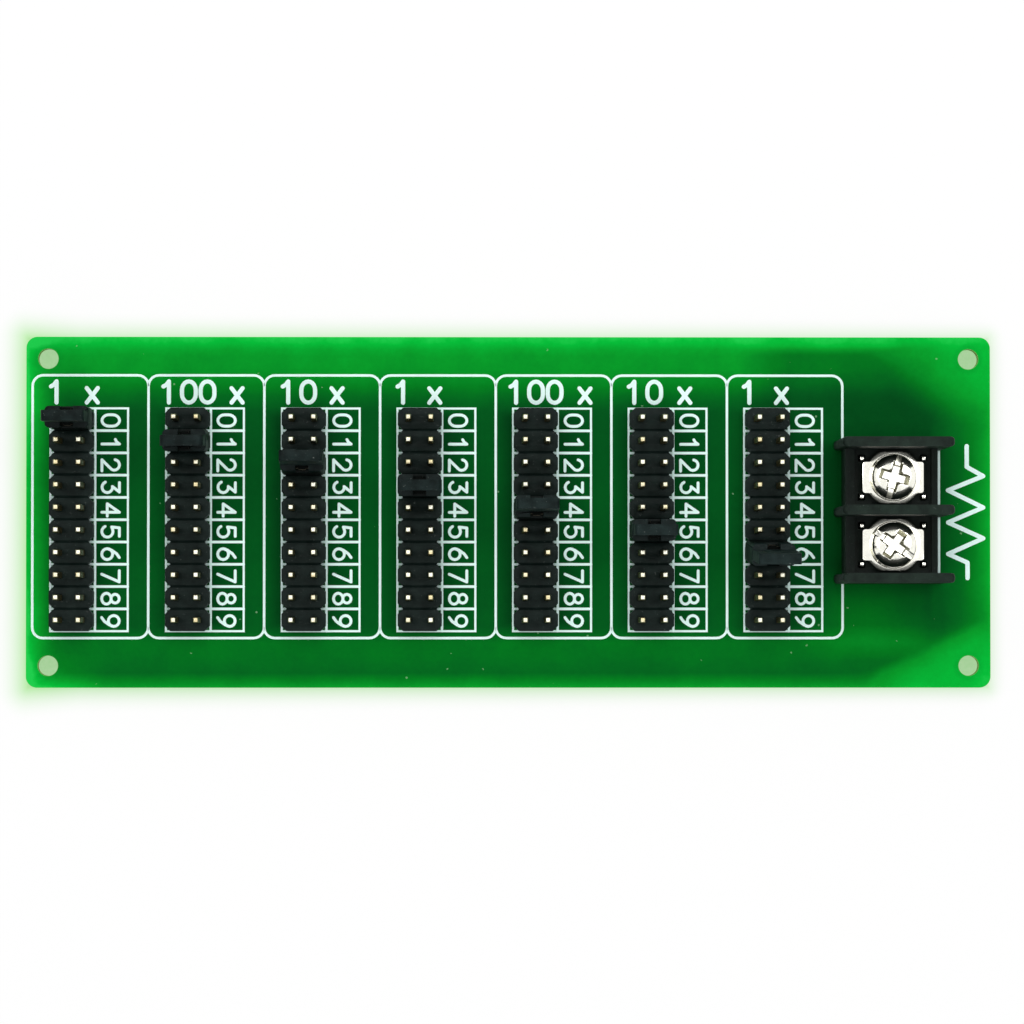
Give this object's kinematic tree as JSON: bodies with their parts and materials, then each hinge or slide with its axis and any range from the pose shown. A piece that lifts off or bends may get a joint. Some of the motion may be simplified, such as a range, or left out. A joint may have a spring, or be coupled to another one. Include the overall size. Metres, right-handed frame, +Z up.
{
  "type": "programmable resistor board",
  "caption": "Circuit board with columns of pin headers, tall lift-off jumper caps that pick a resistance, and a barrier screw terminal.",
  "frame": {"origin": "middle of the part's footprint, in the plane of the pin tails that it stands on", "axes": "+X along the board towards the screw terminal, +Y towards the decade headings, +Z up through the board"},
  "size_m": [0.11, 0.04, 0.0193],
  "materials": {
    "board": "green solder mask with white legend",
    "header_plastic": "black moulded plastic",
    "pin_metal": "gold plated pins",
    "cap_plastic": "black moulded plastic",
    "clip_metal": "tin plated spring bronze",
    "chip_ceramic": "glazed chip with tinned ends",
    "solder": "bright solder",
    "terminal_plastic": "black moulded plastic",
    "terminal_metal": "bright nickel plating"
  },
  "bodies": {
    "board": {"circuit_board": "board", "terminal_solder": "solder", "terminal_housing": "terminal_plastic", "terminal_contact_1": "terminal_metal", "terminal_contact_2": "terminal_metal", "header_housing_1m": "header_plastic", "header_pins_1m": "pin_metal", "chip_resistors_1m": "chip_ceramic", "solder_joints_1m": "solder", "header_housing_100k": "header_plastic", "header_pins_100k": "pin_metal", "chip_resistors_100k": "chip_ceramic", "solder_joints_100k": "solder", "header_housing_10k": "header_plastic", "header_pins_10k": "pin_metal", "chip_resistors_10k": "chip_ceramic", "solder_joints_10k": "solder", "header_housing_1k": "header_plastic", "header_pins_1k": "pin_metal", "chip_resistors_1k": "chip_ceramic", "solder_joints_1k": "solder", "header_housing_100r": "header_plastic", "header_pins_100r": "pin_metal", "chip_resistors_100r": "chip_ceramic", "solder_joints_100r": "solder", "header_housing_10r": "header_plastic", "header_pins_10r": "pin_metal", "chip_resistors_10r": "chip_ceramic", "solder_joints_10r": "solder", "header_housing_1r": "header_plastic", "header_pins_1r": "pin_metal", "chip_resistors_1r": "chip_ceramic", "solder_joints_1r": "solder"},
    "jumper_1m": {"jumper_cap_1m": "cap_plastic", "jumper_clip_1m": "clip_metal"},
    "jumper_100k": {"jumper_cap_100k": "cap_plastic", "jumper_clip_100k": "clip_metal"},
    "jumper_10k": {"jumper_cap_10k": "cap_plastic", "jumper_clip_10k": "clip_metal"},
    "jumper_1k": {"jumper_cap_1k": "cap_plastic", "jumper_clip_1k": "clip_metal"},
    "jumper_100r": {"jumper_cap_100r": "cap_plastic", "jumper_clip_100r": "clip_metal"},
    "jumper_10r": {"jumper_cap_10r": "cap_plastic", "jumper_clip_10r": "clip_metal"},
    "jumper_1r": {"jumper_cap_1r": "cap_plastic", "jumper_clip_1r": "clip_metal"},
    "clamp_1": {"clamp_plate_1": "terminal_metal"},
    "screw_1": {"terminal_screw_1": "terminal_metal"},
    "clamp_2": {"clamp_plate_2": "terminal_metal"},
    "screw_2": {"terminal_screw_2": "terminal_metal"}
  },
  "joints": [
    {"name": "jumper_1m_lift", "type": "slide", "parent": "board", "child": "jumper_1m", "axis": [0, 0, 1], "range_m": [0, 0.009]},
    {"name": "jumper_100k_lift", "type": "slide", "parent": "board", "child": "jumper_100k", "axis": [0, 0, 1], "range_m": [0, 0.009]},
    {"name": "jumper_10k_lift", "type": "slide", "parent": "board", "child": "jumper_10k", "axis": [0, 0, 1], "range_m": [0, 0.009]},
    {"name": "jumper_1k_lift", "type": "slide", "parent": "board", "child": "jumper_1k", "axis": [0, 0, 1], "range_m": [0, 0.009]},
    {"name": "jumper_100r_lift", "type": "slide", "parent": "board", "child": "jumper_100r", "axis": [0, 0, 1], "range_m": [0, 0.009]},
    {"name": "jumper_10r_lift", "type": "slide", "parent": "board", "child": "jumper_10r", "axis": [0, 0, 1], "range_m": [0, 0.009]},
    {"name": "jumper_1r_lift", "type": "slide", "parent": "board", "child": "jumper_1r", "axis": [0, 0, 1], "range_m": [0, 0.009]},
    {"name": "clamp_1_rise", "type": "slide", "parent": "board", "child": "clamp_1", "axis": [0, 0, 1], "range_m": [0, 0.003]},
    {"name": "screw_1_turn", "type": "hinge", "parent": "clamp_1", "child": "screw_1", "pos_m": [0.04335, 0.00381, 0.0093], "axis": [0, 0, 1], "range_deg": [0, 2160]},
    {"name": "clamp_2_rise", "type": "slide", "parent": "board", "child": "clamp_2", "axis": [0, 0, 1], "range_m": [0, 0.003]},
    {"name": "screw_2_turn", "type": "hinge", "parent": "clamp_2", "child": "screw_2", "pos_m": [0.04335, -0.00381, 0.0093], "axis": [0, 0, 1], "range_deg": [0, 2160]}
  ],
  "couplings": [
    {"joint": "screw_1_turn", "follows": "clamp_1_rise", "rad_per_m": 12566},
    {"joint": "screw_2_turn", "follows": "clamp_2_rise", "rad_per_m": 12566}
  ]
}
